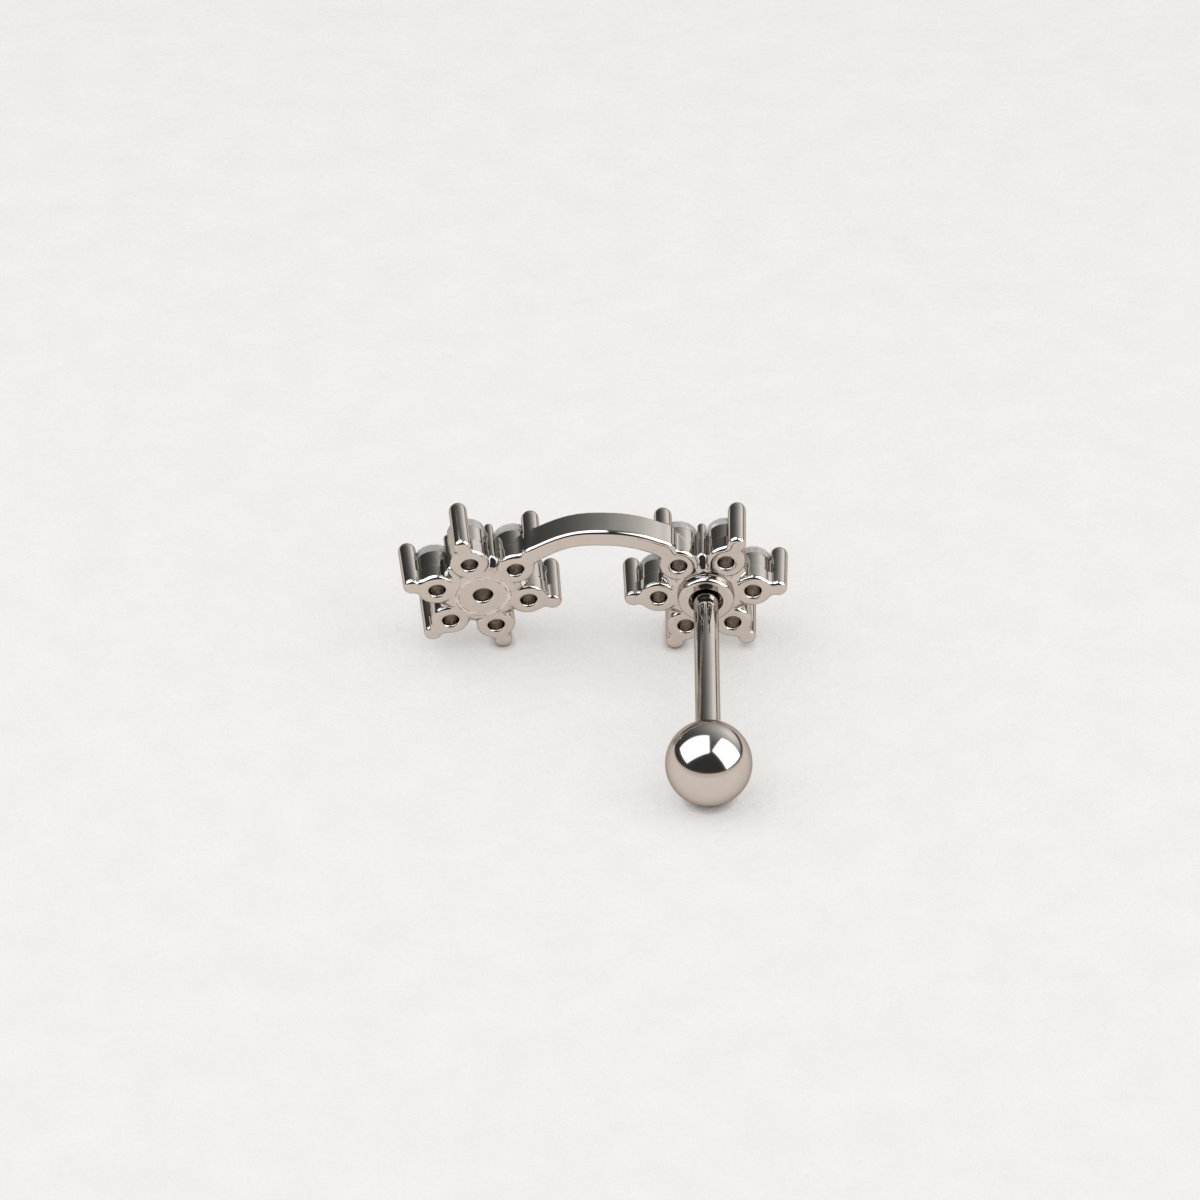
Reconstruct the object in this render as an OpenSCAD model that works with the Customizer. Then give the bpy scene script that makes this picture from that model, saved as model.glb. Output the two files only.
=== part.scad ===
// Piercing stud: two six-petal stone flowers joined by an arched bar, with a straight post
// behind one flower and a ball that screws onto the post's end.
// It is drawn with the flowers' back faces on z = 0, the stones towards +z and the post
// down -z, and is then laid on its ball and two of its prongs, as it rests on a table.

/* [Flower] */
// Distance from a flower's centre to the centre of each petal
petal_ring = 2.21; // [2.15:0.01:2.3]
// Radius of a petal, which is also the cup under its stone
cup_r = 0.9; // [0.88:0.01:0.92]
// How far the cups reach forward of the back face
cup_depth = 1.8; // [1.6:0.05:1.9]
// Radius of the disc that joins the petals
disc_r = 1.64; // [1.6:0.02:1.7]
// Thickness of the disc and of the necks out to the prongs
plate_t = 0.9; // [0.7:0.05:1.1]
// Width of the neck between a petal and its prong
neck_w = 0.68; // [0.6:0.02:0.74]
// Radius of the hole behind each petal's stone
petal_hole_r = 0.41; // [0.35:0.01:0.45]
// Radius of the hole behind the centre stone
centre_hole_r = 0.48; // [0.42:0.01:0.5]
// Rounding of the back edges
edge_round = 0.15; // [0.08:0.01:0.2]

/* [Prongs] */
// Distance from the flower's centre to an outer prong at the back face
knob_ring = 3.39; // [3.36:0.01:3.45]
// Distance from the flower's centre to an outer prong at its tip
tip_ring = 3.49; // [3.46:0.01:3.55]
// Radius of an outer prong
prong_r = 0.4; // [0.38:0.01:0.42]
// Length of an outer prong
prong_length = 2.8; // [2.7:0.05:3]
// Distance from the centre to the slim prongs in the notches between petals
notch_ring = 1.98; // [1.95:0.01:2]
// Radius of a slim prong
notch_prong_r = 0.23; // [0.22:0.01:0.25]
// Radius of the claws between the centre stone and two petals
claw_r = 0.42; // [0.4:0.01:0.44]
// Length of the slim prongs and claws
inner_length = 2.75; // [2.65:0.05:2.9]

/* [Stones] */
// Diameter of a stone
stone_d = 1.8; // [1.7:0.05:1.8]
// Depth of the girdle's back edge from the back face
girdle_z = 2.17; // [2.1:0.01:2.2]
// Thickness of the girdle
girdle_t = 0.05; // [0.03:0.01:0.08]
// Diameter of the table as a share of the stone's
table_share = 0.57; // [0.53:0.01:0.62]
// Slope of the crown
crown_angle = 34.5; // [32:0.5:36]
// Slope of the pavilion
pavilion_angle = 40.75; // [40:0.25:42]
// Gap between a stone and the metal round it
stone_gap = 0.03; // [0.02:0.01:0.04]

/* [Bar] */
// Width of the bar across its arch
bar_w = 0.92; // [0.85:0.01:0.96]
// Depth of the bar from the back face forward
bar_depth = 1.46; // [1.2:0.02:1.6]
// Rise of the arch's middle line over a straight line between its ends
bar_rise = 0.9; // [0.7:0.05:1.2]

/* [Second flower] */
// Centre of the second flower, across, up and forward of the first
second_place = [10.37, 0.98, -0.05];
// Its turn about the three axes: the head is bent by a few degrees
second_turn = [-2.9, 6.5, 19.4];

/* [Post] */
// Radius of the post
post_r = 0.58; // [0.5:0.01:0.6]
// Distance from the back face to the ball's centre
ball_distance = 11.18; // [9:0.1:14]
// Radius of the collar where it meets the flower
collar_r = 1.31; // [1.25:0.01:1.4]
// Radius of the collar's end face
collar_face_r = 1.2; // [1.1:0.01:1.22]
// Height of the collar behind the flower
collar_h = 0.43; // [0.3:0.01:0.6]
// Radius of the socket that the post stands in
socket_r = 0.79; // [0.7:0.01:0.85]
// Depth of the socket below the back face
socket_sink = 0.25; // [0.1:0.05:0.4]
// Radius of the post's widened foot, at its root in the flower
post_foot_r = 0.7; // [0.6:0.01:0.72]
// Length of the thread on the post's end
thread_length = 1.9; // [1.5:0.1:2]
// Pitch of the thread
thread_pitch = 0.25; // [0.25:0.05:0.35]
// Depth of the thread's grooves
thread_groove = 0.13; // [0.08:0.01:0.15]

/* [Ball] */
// Diameter of the ball
ball_d = 4; // [3:0.1:5]
// Radial clearance of the post in the ball's hole
ball_clearance = 0.03; // [0.02:0.01:0.05]
// Space left in the hole beyond the post's end
ball_hole_spare = 0.2; // [0.1:0.05:0.4]
// Width of the bevel round the hole's mouth
mouth_bevel = 0.12; // [0.05:0.01:0.2]

/* [Hidden] */
$fn = 48;
PETALS = 6;
STEP = 360 / PETALS;
OVER = 0.5;
STEEL = [0.72, 0.71, 0.7];
CLEAR = [0.88, 0.93, 0.97, 0.6];
RIGHT_STONES = [for (k = [1:PETALS]) str("stone_right_", k)];
LEFT_STONES = [for (k = [1:PETALS]) str("stone_left_", k)];

// Stone heights, all measured from the back face
stone_r = stone_d / 2;
table_r = stone_r * table_share;
crown_z = girdle_z + girdle_t;
table_z = crown_z + (stone_r - table_r) * tan(crown_angle);
culet_z = girdle_z - stone_r * tan(pavilion_angle);

// Petals and prongs that the bar joins, and those that the jewel rests on
BAR_PETAL = 1;
BAR_PETAL_SECOND = 2;
FOOT_PETAL = 5;
FOOT_PETAL_SECOND = 4;

// Ball and thread
ball_r = ball_d / 2;
ball_hole_r = post_r + ball_clearance;
ball_mouth = ball_distance - sqrt(ball_r * ball_r - ball_hole_r * ball_hole_r);
post_end = ball_mouth + thread_length;

function turn_x(p, a) = [p.x, p.y * cos(a) - p.z * sin(a), p.y * sin(a) + p.z * cos(a)];
function turn_y(p, a) = [p.x * cos(a) + p.z * sin(a), p.y, p.z * cos(a) - p.x * sin(a)];
function turn_z(p, a) = [p.x * cos(a) - p.y * sin(a), p.x * sin(a) + p.y * cos(a), p.z];

// A point of the second flower, moved to where that flower sits
function on_second(p) =
    second_place + turn_z(turn_y(turn_x(p, second_turn.x), second_turn.y), second_turn.z);

// A point on the axis of outer prong k, at a distance forward of the back face
function prong_point(k, z) =
    let (r = knob_ring + (tip_ring - knob_ring) * z / prong_length)
    [r * cos(k * STEP), r * sin(k * STEP), z];

// The arch runs through the foot of one prong on each flower
bar_a = prong_point(BAR_PETAL, 0);
bar_b = on_second(prong_point(BAR_PETAL_SECOND, 0));
bar_along = [bar_b.x - bar_a.x, bar_b.y - bar_a.y];
bar_chord = norm(bar_along);
bar_r = (bar_chord * bar_chord / 4 + bar_rise * bar_rise) / (2 * bar_rise);
bar_slope = atan2(bar_along.y, bar_along.x);
bar_half_angle = asin(bar_chord / 2 / bar_r);
bar_centre = [
    (bar_a.x + bar_b.x) / 2 + (bar_r - bar_rise) * sin(bar_slope),
    (bar_a.y + bar_b.y) / 2 - (bar_r - bar_rise) * cos(bar_slope)
];

// It rests on three round places: the ball and the feet of two outer prongs.
// The up direction is the normal of the plane that touches all three from below.
ball_centre = [0, 0, -ball_distance];
foot_a = prong_point(FOOT_PETAL, edge_round) - ball_centre;
foot_b = on_second(prong_point(FOOT_PETAL_SECOND, edge_round)) - ball_centre;
foot_drop = prong_r - ball_r;
feet_normal = cross(foot_a, foot_b);
up_part =
    foot_drop * (cross(foot_b, feet_normal) + cross(feet_normal, foot_a))
    / (feet_normal * feet_normal);
up_rest = sqrt(1 - up_part * up_part) / norm(feet_normal);
up = up_part + up_rest * feet_normal * sign(feet_normal.y);
tilt = asin(up.z);
roll = atan2(up.x, up.y);
lift = ball_r + ball_distance * up.z;

// Where a point of the drawn jewel comes to, across and along the table
function laid_x(p) = -turn_z(p, roll).x;
function laid_y(p) = cos(tilt) * p.z - sin(tilt) * turn_z(p, roll).y;

// The jewel's reach across and along the table, from its prongs and its ball
tips = [
    for (k = [0:PETALS - 1], z = [edge_round, prong_length - prong_r])
        each [prong_point(k, z), on_second(prong_point(k, z))]
];
tips_x = [for (p = tips) laid_x(p)];
tips_y = [for (p = tips) laid_y(p)];
middle_x = (max(tips_x) + min(tips_x)) / 2;
middle_y = (max(tips_y) + prong_r + laid_y(ball_centre) - ball_r) / 2;

// A round edge of a lathe profile, from the face at z = 0 out to radius r
function round_edge(r, round, steps) = [
    for (i = [0:steps])
        let (a = 90 * i / steps)
        [r - round + round * sin(a), round - round * cos(a)]
];

// Half of a rod's outline: a rounded back end and a domed tip
function rod_outline(r, length, round, steps) = concat(
    [[0, 0]],
    round_edge(r, round, 2),
    [for (i = [0:steps]) let (a = 90 * i / steps) [r * cos(a), length - r + r * sin(a)]]
);

module rod(r, length, round, steps) {
    rotate_extrude() polygon(rod_outline(r, length, round, steps));
}

// A disc that starts at the back face with a rounded edge
module rounded_disc(r, height) {
    rotate_extrude()
        polygon(concat([[0, 0]], round_edge(r, edge_round, 2), [[r, height], [0, height]]));
}

// The neck from a petal out to its prong
module neck() {
    translate([petal_ring, -neck_w / 2, 0]) cube([knob_ring - petal_ring, neck_w, plate_t]);
}

// An outer prong, which leans out a little towards its tip
module outer_prong() {
    lean = atan((tip_ring - knob_ring) / prong_length);
    translate([knob_ring, 0, 0])
        rotate([0, lean, 0]) rod(prong_r, prong_length / cos(lean), edge_round, 4);
}

// A slim prong in a notch, with the web that ties it to the disc
module notch_prong() {
    web_w = notch_prong_r;
    translate([notch_ring, 0, 0]) rod(notch_prong_r, inner_length, edge_round / 2, 2);
    translate([disc_r - OVER, -web_w / 2, edge_round])
        cube([notch_ring - disc_r + OVER, web_w, plate_t - edge_round]);
}

// A claw that stands where three stones come closest
module inner_claw() {
    claw_ring = petal_ring / (2 * cos(STEP / 2));
    translate([claw_ring, 0, plate_t / 2])
        rod(claw_r, inner_length - plate_t / 2, edge_round, 2);
}

// What is cut away for one stone: its hole, its cone-shaped seat and its girdle.
// The hole is open at the back, or stops short where the flower is closed.
module seat(hole_r, open) {
    cone_z = culet_z - stone_gap / cos(pavilion_angle);
    seat_r = stone_r + stone_gap;
    back = open ? -OVER : plate_t;
    rotate_extrude()
        polygon([
            [0, back],
            [hole_r, back],
            [hole_r, cone_z + hole_r * tan(pavilion_angle)],
            [seat_r, cone_z + seat_r * tan(pavilion_angle)],
            [seat_r, crown_z + stone_gap],
            [table_r + stone_gap, table_z + stone_gap],
            [0, table_z + stone_gap]
        ]);
}

// One flower: disc, necks, cups and prongs, with the seats cut into them
module flower(open_centre) {
    difference() {
        union() {
            rounded_disc(disc_r, plate_t);
            rounded_disc(cup_r, cup_depth);
            for (k = [0:PETALS - 1]) {
                rotate([0, 0, k * STEP]) {
                    neck();
                    translate([petal_ring, 0, 0]) rounded_disc(cup_r, cup_depth);
                    outer_prong();
                }
                rotate([0, 0, (k + 0.5) * STEP]) {
                    notch_prong();
                    inner_claw();
                }
            }
        }
        seat(centre_hole_r, open_centre);
        for (k = [0:PETALS - 1])
            rotate([0, 0, k * STEP]) translate([petal_ring, 0, 0]) seat(petal_hole_r, true);
    }
}

// The arched bar, flush with the back faces, with a round boss at each end
module bar() {
    bevel = edge_round / 2;
    inner = bar_r - bar_w / 2;
    outer = bar_r + bar_w / 2;
    boss_r = bar_w / 2 + 0.02;
    translate(bar_centre)
        rotate([0, 0, 90 + bar_slope - bar_half_angle])
            rotate_extrude(angle = 2 * bar_half_angle)
                polygon([
                    [inner + bevel, 0], [outer - bevel, 0],
                    [outer, bevel], [outer, bar_depth - bevel],
                    [outer - bevel, bar_depth], [inner + bevel, bar_depth],
                    [inner, bar_depth - bevel], [inner, bevel]
                ]);
    for (end = [bar_a, bar_b])
        translate([end.x, end.y, 0]) rounded_disc(boss_r, bar_depth);
}

// The collar behind the first flower, a ring with a slanted side
module collar() {
    rotate_extrude()
        polygon([
            [0, socket_sink], [collar_r, socket_sink], [collar_r, 0],
            [collar_r, -collar_h / 3], [collar_face_r, -collar_h], [0, -collar_h]
        ]);
}

// The post, from its root in the flower to the end of its thread.
// Its foot narrows inside the socket, and it is straight from the collar's end face on.
module post() {
    turns = floor(thread_length / thread_pitch);
    root_r = post_r - thread_groove;
    grooves = [
        for (i = [0:turns - 1], step = [0, 1])
            [step == 0 ? post_r : root_r, -ball_mouth - (i + (step + 1) / 2) * thread_pitch]
    ];
    rotate_extrude()
        polygon(concat(
            [[0, socket_sink + OVER / 2], [post_foot_r, socket_sink + OVER / 2], [post_r, -collar_h]],
            grooves,
            [[root_r, -post_end], [0, -post_end]]
        ));
}

// All the metal that is soldered into one piece
module setting() {
    color(STEEL) {
        difference() {
            union() {
                flower(false);
                collar();
            }
            translate([0, 0, -collar_h - OVER])
                cylinder(r = socket_r, h = collar_h + OVER + socket_sink);
        }
        post();
        translate(second_place) rotate(second_turn) flower(true);
        bar();
    }
}

// The ball, with a blind hole for the post's thread
module screw_ball() {
    color(STEEL)
        translate(ball_centre)
            difference() {
                sphere(r = ball_r, $fn = 96);
                translate([0, 0, ball_distance - post_end - ball_hole_spare])
                    cylinder(r = ball_hole_r, h = ball_r + OVER);
                translate([0, 0, ball_distance - ball_mouth - mouth_bevel])
                    cylinder(r1 = ball_hole_r, r2 = ball_hole_r + 2 * mouth_bevel, h = 2 * mouth_bevel);
            }
}

// A round brilliant with its girdle's back edge at z = girdle_z
module brilliant() {
    star_r = (table_r * cos(22.5) + stone_r) / 2;
    star_z = table_z - (star_r * cos(22.5) - table_r) * tan(crown_angle);
    lower_r = stone_r * 0.22;
    lower_z = culet_z + lower_r * cos(22.5) * tan(pavilion_angle);
    points = concat(
        [for (k = [0:7]) [table_r * cos(45 * k), table_r * sin(45 * k), table_z]],
        [for (k = [0:7]) [star_r * cos(45 * k + 22.5), star_r * sin(45 * k + 22.5), star_z]],
        [for (j = [0:15]) [stone_r * cos(22.5 * j), stone_r * sin(22.5 * j), crown_z]],
        [for (j = [0:15]) [stone_r * cos(22.5 * j), stone_r * sin(22.5 * j), girdle_z]],
        [for (k = [0:7]) [lower_r * cos(45 * k + 22.5), lower_r * sin(45 * k + 22.5), lower_z]],
        [[0, 0, culet_z]]
    );
    star = 8;
    top = 16;
    low = 32;
    lower = 48;
    culet = 56;
    faces = concat(
        [[for (k = [0:7]) 7 - k]],
        [for (k = [0:7]) [k, (k + 1) % 8, star + k]],
        [for (k = [0:7]) [k, star + k, top + 2 * k, star + (k + 7) % 8]],
        [for (k = [0:7]) [star + k, top + 2 * k + 1, top + 2 * k]],
        [for (k = [0:7]) [star + k, top + (2 * k + 2) % 16, top + 2 * k + 1]],
        [for (j = [0:15]) let (n = (j + 1) % 16) [top + j, top + n, low + n, low + j]],
        [for (k = [0:7]) [lower + k, low + 2 * k, low + 2 * k + 1]],
        [for (k = [0:7]) [lower + k, low + 2 * k + 1, low + (2 * k + 2) % 16]],
        [for (k = [0:7]) [culet, lower + (k + 7) % 8, low + 2 * k, lower + k]]
    );
    color(CLEAR) polyhedron(points, faces);
}

// A petal's stone, petal k counted round from the +x side
module petal_stone(k) {
    rotate([0, 0, k * STEP]) translate([petal_ring, 0, 0]) brilliant();
}

module second_flower_place() {
    translate(second_place) rotate(second_turn) children();
}

// Lays the drawn jewel on the table, with the middle of its reach at the origin
module laid() {
    translate([-middle_x, -middle_y, lift])
        rotate([90 - tilt, 0, 180])
            rotate([0, 0, roll]) children();
}

laid() setting();
laid() screw_ball();
laid() brilliant();  // stone_right_centre
for (k = [0:PETALS - 1])
    laid() petal_stone(k);
laid() second_flower_place() brilliant();  // stone_left_centre
for (k = [0:PETALS - 1])
    laid() second_flower_place() petal_stone(k);
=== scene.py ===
import math

import bmesh
import bpy
import numpy as np
from mathutils import Matrix, Vector


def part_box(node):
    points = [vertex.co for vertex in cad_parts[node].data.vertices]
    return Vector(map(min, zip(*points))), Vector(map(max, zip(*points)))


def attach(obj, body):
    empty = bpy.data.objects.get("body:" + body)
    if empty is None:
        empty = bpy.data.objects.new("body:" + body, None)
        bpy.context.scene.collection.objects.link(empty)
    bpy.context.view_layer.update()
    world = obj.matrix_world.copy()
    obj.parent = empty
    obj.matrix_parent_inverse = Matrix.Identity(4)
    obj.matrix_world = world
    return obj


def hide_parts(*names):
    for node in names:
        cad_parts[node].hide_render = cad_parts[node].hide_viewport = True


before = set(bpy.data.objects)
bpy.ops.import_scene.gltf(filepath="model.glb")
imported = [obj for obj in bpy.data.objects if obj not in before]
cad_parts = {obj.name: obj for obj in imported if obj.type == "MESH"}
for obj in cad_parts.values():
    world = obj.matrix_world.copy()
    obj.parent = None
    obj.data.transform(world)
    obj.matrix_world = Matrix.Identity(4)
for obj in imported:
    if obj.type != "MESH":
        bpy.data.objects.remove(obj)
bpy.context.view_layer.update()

# Camera
# A long lens looks down on the jewel from the ball's side, almost in line with the post
# and turned by about a degree. The picture's middle falls between the flowers.
LENS = 192.4
SENSOR = 36
CAMERA_AZIMUTH = math.radians(-0.784)
CAMERA_ELEVATION = math.radians(35.618)
CAMERA_ROLL = math.radians(-1.12)
CAMERA_DISTANCE = 0.29
CAMERA_AIM = Vector((0.000416, -0.003438, 0.009154))

camera = bpy.data.objects.new("camera", bpy.data.cameras.new("camera"))
camera.data.lens = LENS
camera.data.sensor_width = SENSOR
to_camera = Vector((
    -math.sin(CAMERA_AZIMUTH) * math.cos(CAMERA_ELEVATION),
    -math.cos(CAMERA_AZIMUTH) * math.cos(CAMERA_ELEVATION),
    math.sin(CAMERA_ELEVATION),
))
camera.rotation_mode = "QUATERNION"
camera.location = CAMERA_AIM + to_camera * CAMERA_DISTANCE
roll = Matrix.Rotation(CAMERA_ROLL, 3, "Z").to_quaternion()
camera.rotation_quaternion = to_camera.to_track_quat("Z", "Y") @ roll
bpy.context.scene.collection.objects.link(camera)
bpy.context.scene.camera = camera

# Studio
# Two large soft boxes stand left and right of the table and nearly meet overhead. The
# room is dark, apart from a pale screen behind the jewel on the right and white walls
# that only fill the shadows. The boxes' places and sizes are scaled, from the ball out.
STUDIO_SCALE = 0.16
SOFT_BOXES = {
    "soft_box_left": {
        "centre": (-0.579, -0.028, 0.808),
        "facing": (0.511, 0.014, -0.86),
        "width_along": (0.859, 0.017, 0.511),
        "size": (1.516, 1.135),
        "color": (0.93, 0.97, 1.0),
    },
    "soft_box_right": {
        "centre": (0.735, -0.095, 0.68),
        "facing": (-0.732, 0.368, -0.574),
        "width_along": (0.449, 0.894, 0.0),
        "size": (1.16, 1.249),
        "color": (1.0, 0.98, 0.96),
    },
}
SOFT_BOX_RADIANCE = 2.6
SOFT_BOX_EDGE = 0.06
SCREEN_DIRECTION = (0.571, 0.731, 0.375)
# Cosine of the angle off the screen's middle, and the brightness there.
SCREEN_BRIGHTNESS = [
    (0.0, 0.045), (0.31, 0.08), (0.5, 0.12), (0.643, 0.20),
    (0.766, 0.31), (0.866, 0.47), (0.94, 0.66), (0.978, 0.9), (0.995, 1.05),
]
SCREEN_TINT = (1.03, 1.0, 0.95)
SCREEN_FOOT_FROM = 0.1
SCREEN_FOOT_TO = 0.22
SCREEN_FOOT_BRIGHTNESS = 0.1
SCREEN_FOOT_SIDE_FROM = 0.35
SCREEN_FOOT_SIDE_TO = 0.55
FILL_RADIANCE = 2.0
FILL_LOW_COLOR = (1.7, 1.5, 1.35, 1)
FILL_HIGH_COLOR = (0.97, 0.975, 0.985, 1)
FILL_HIGH_FROM = 0.5
MIX_COLOR_A = 6
MIX_COLOR_B = 7
MIX_COLOR_OUT = 2


def add_node(tree, kind, inputs=None, **settings):
    """Adds a shader node. Its inputs are numbers, colours or the sockets that feed them."""
    made = tree.nodes.new(kind)
    for name, value in settings.items():
        setattr(made, name, value)
    for name, value in (inputs or {}).items():
        if isinstance(value, bpy.types.NodeSocket):
            tree.links.new(value, made.inputs[name])
        else:
            made.inputs[name].default_value = value
    return made


def worked_out(tree, operation, *values):
    """What a sum gives, from numbers or sockets."""
    return add_node(tree, "ShaderNodeMath", dict(enumerate(values)), operation=operation).outputs[0]


def share_of_way(tree, value, low, high, ease="LINEAR"):
    """Nothing where a value is at low, one where it is at high, and a share in between."""
    return add_node(
        tree, "ShaderNodeMapRange",
        {"Value": value, "From Min": low, "From Max": high},
        interpolation_type=ease,
    ).outputs["Result"]


def mixed_color(tree, share, first, second):
    """The first colour where the share is nothing, and the second where it is one."""
    return add_node(
        tree, "ShaderNodeMix", {0: share, MIX_COLOR_A: first, MIX_COLOR_B: second}, data_type="RGBA"
    ).outputs[MIX_COLOR_OUT]


def soft_edge(tree, position):
    """One in the middle of a soft box and nothing at its edge, across one of its sides."""
    off_middle = worked_out(tree, "ABSOLUTE", worked_out(tree, "SUBTRACT", position, 0.5))
    return share_of_way(tree, off_middle, 0.5, 0.5 - SOFT_BOX_EDGE, "SMOOTHSTEP")


ball_low, ball_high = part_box("screw_ball")
for name, box in SOFT_BOXES.items():
    lamp = bpy.data.lights.new(name, "AREA")
    lamp.shape = "RECTANGLE"
    lamp.size, lamp.size_y = (side * STUDIO_SCALE for side in box["size"])
    lamp.energy = SOFT_BOX_RADIANCE * math.pi * lamp.size * lamp.size_y
    lamp.color = box["color"]
    lamp.use_nodes = True
    tree = lamp.node_tree
    place = add_node(tree, "ShaderNodeNewGeometry").outputs["Parametric"]
    sides = add_node(tree, "ShaderNodeSeparateXYZ", {0: place})
    across_x = soft_edge(tree, sides.outputs["X"])
    across_y = soft_edge(tree, sides.outputs["Y"])
    glow = worked_out(tree, "MULTIPLY", across_x, across_y)
    tree.links.new(glow, tree.nodes["Emission"].inputs["Strength"])
    back = -Vector(box["facing"]).normalized()
    across = Vector(box["width_along"])
    across = (across - back * across.dot(back)).normalized()
    middle = (ball_low + ball_high) / 2 + Vector(box["centre"]) * STUDIO_SCALE
    light = bpy.data.objects.new(name, lamp)
    light.matrix_world = Matrix.Translation(middle) @ Matrix(
        (across, back.cross(across), back)
    ).transposed().to_4x4()
    bpy.context.scene.collection.objects.link(light)

room = bpy.data.worlds.new("room")
room.use_nodes = True
bpy.context.scene.world = room
tree = room.node_tree
tree.nodes.clear()
direction = add_node(tree, "ShaderNodeTexCoord").outputs["Generated"]
sides = add_node(tree, "ShaderNodeSeparateXYZ", {0: direction})
height = sides.outputs["Z"]
towards_screen = add_node(
    tree, "ShaderNodeVectorMath", {0: direction, 1: SCREEN_DIRECTION}, operation="DOT_PRODUCT"
)
screen = add_node(tree, "ShaderNodeValToRGB", {"Fac": towards_screen.outputs["Value"]})
while len(screen.color_ramp.elements) < len(SCREEN_BRIGHTNESS):
    screen.color_ramp.elements.new(0.5)
for stop, (position, brightness) in zip(screen.color_ramp.elements, SCREEN_BRIGHTNESS):
    stop.position = position
    stop.color = (*(brightness * tint for tint in SCREEN_TINT), 1)
foot_brightness = add_node(
    tree, "ShaderNodeMapRange",
    {
        "Value": sides.outputs["X"],
        "From Min": SCREEN_FOOT_SIDE_FROM,
        "From Max": SCREEN_FOOT_SIDE_TO,
        "To Min": 1.0,
        "To Max": SCREEN_FOOT_BRIGHTNESS,
    },
    interpolation_type="SMOOTHSTEP",
)
screen_foot = add_node(
    tree, "ShaderNodeMapRange",
    {
        "Value": height,
        "From Min": SCREEN_FOOT_FROM,
        "From Max": SCREEN_FOOT_TO,
        "To Min": foot_brightness.outputs["Result"],
    },
    interpolation_type="SMOOTHSTEP",
)
dark_room = add_node(
    tree, "ShaderNodeBackground",
    {"Color": screen.outputs["Color"], "Strength": screen_foot.outputs["Result"]},
)
fill_color = mixed_color(
    tree, share_of_way(tree, height, 0.0, FILL_HIGH_FROM), FILL_LOW_COLOR, FILL_HIGH_COLOR
)
fill = add_node(tree, "ShaderNodeBackground", {"Color": fill_color, "Strength": FILL_RADIANCE})
light_path = add_node(tree, "ShaderNodeLightPath")
off_paper = worked_out(tree, "MINIMUM", light_path.outputs["Diffuse Depth"], 1.0)
room_or_fill = add_node(
    tree, "ShaderNodeMixShader",
    {0: off_paper, 1: dark_room.outputs["Background"], 2: fill.outputs["Background"]},
)
add_node(tree, "ShaderNodeOutputWorld", {"Surface": room_or_fill.outputs["Shader"]})
bpy.context.scene.view_settings.view_transform = "Standard"

# Table
# Warm white paper with a fine soft tooth, lifted at its far edges. A painted glow lifts
# its shadows, and a painted contact shadow darkens it where something touches it. Its
# reflection in the steel is painted warmer than the paper itself.
MM = 0.001
PAPER_COLOR = (0.168, 0.165, 0.162, 1)
PAPER_SHADE_COLOR = (0.158, 0.154, 0.150, 1)
# Painted glow: the paper gives off light of its own, which lifts its shadows.
PAPER_PAINTED_GLOW = (0.407, 0.399, 0.391, 1)
# Painted contact shadow: the glow falls to nearly black where something is within reach of the paper.
PAPER_PAINTED_CONTACT_SHADOW = (0.015, 0.0, 0.0, 1)
CONTACT_SHADOW_REACH = 0.4 * MM
# Painted reflection: how the paper's colour and glow look in the steel, warmer than the paper itself.
PAPER_PAINTED_REFLECTION_COLOR = (0.131, 0.116, 0.105, 1)
PAPER_PAINTED_REFLECTION_GLOW = (0.565, 0.502, 0.455, 1)
PAPER_ROUGHNESS = 0.9
PAPER_GLOSS = 0.1
CLOUDS_PER_MM = 0.35
CLOUD_FROM = 0.35
CLOUD_TO = 0.65
TOOTH_PER_MM = 1.6
TOOTH_DEPTH = 0.15 * MM
FLAT_R = 0.65
RIM_R = 1.1
RIM_ANGLE = math.radians(4.6)
RIM_ANGLE_TO_CAMERA = math.radians(4.4)
SWEEP_RINGS = 24
SWEEP_AROUND = 96

sweep = bmesh.new()
rings = []
for step in range(SWEEP_RINGS + 1):
    share = step / SWEEP_RINGS
    radius = FLAT_R + (RIM_R - FLAT_R) * share
    rings.append([
        sweep.verts.new((
            radius * math.cos(turn),
            radius * math.sin(turn),
            share**2 * RIM_R * math.tan(RIM_ANGLE - RIM_ANGLE_TO_CAMERA * math.sin(turn)),
        ))
        for turn in (math.tau * i / SWEEP_AROUND for i in range(SWEEP_AROUND))
    ])
sweep.faces.new(rings[0])
for inner, outer in zip(rings, rings[1:]):
    for i in range(SWEEP_AROUND):
        j = (i + 1) % SWEEP_AROUND
        sweep.faces.new((inner[i], outer[i], outer[j], inner[j]))
table = bpy.data.objects.new("table", bpy.data.meshes.new("table"))
sweep.to_mesh(table.data)
sweep.free()
table.data.shade_smooth()
bpy.context.scene.collection.objects.link(table)

paper = bpy.data.materials.new("paper")
paper.use_nodes = True
tree = paper.node_tree
shader = tree.nodes["Principled BSDF"]
millimetres = add_node(
    tree, "ShaderNodeMapping",
    {
        "Vector": add_node(tree, "ShaderNodeTexCoord").outputs["Object"],
        "Scale": (1 / MM, 1 / MM, 1 / MM),
    },
).outputs["Vector"]
clouds = add_node(
    tree, "ShaderNodeTexNoise",
    {"Vector": millimetres, "Scale": CLOUDS_PER_MM, "Detail": 5, "Roughness": 0.65},
)
shade = share_of_way(tree, clouds.outputs["Fac"], CLOUD_FROM, CLOUD_TO)
# Rays off the steel see the painted reflection colours instead of the paper's own.
sees_painted_reflection = add_node(tree, "ShaderNodeLightPath").outputs["Is Glossy Ray"]
paper_tone_and_painted_reflection = mixed_color(
    tree, sees_painted_reflection, mixed_color(tree, shade, PAPER_COLOR, PAPER_SHADE_COLOR), PAPER_PAINTED_REFLECTION_COLOR
)
tree.links.new(paper_tone_and_painted_reflection, shader.inputs["Base Color"])
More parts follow.
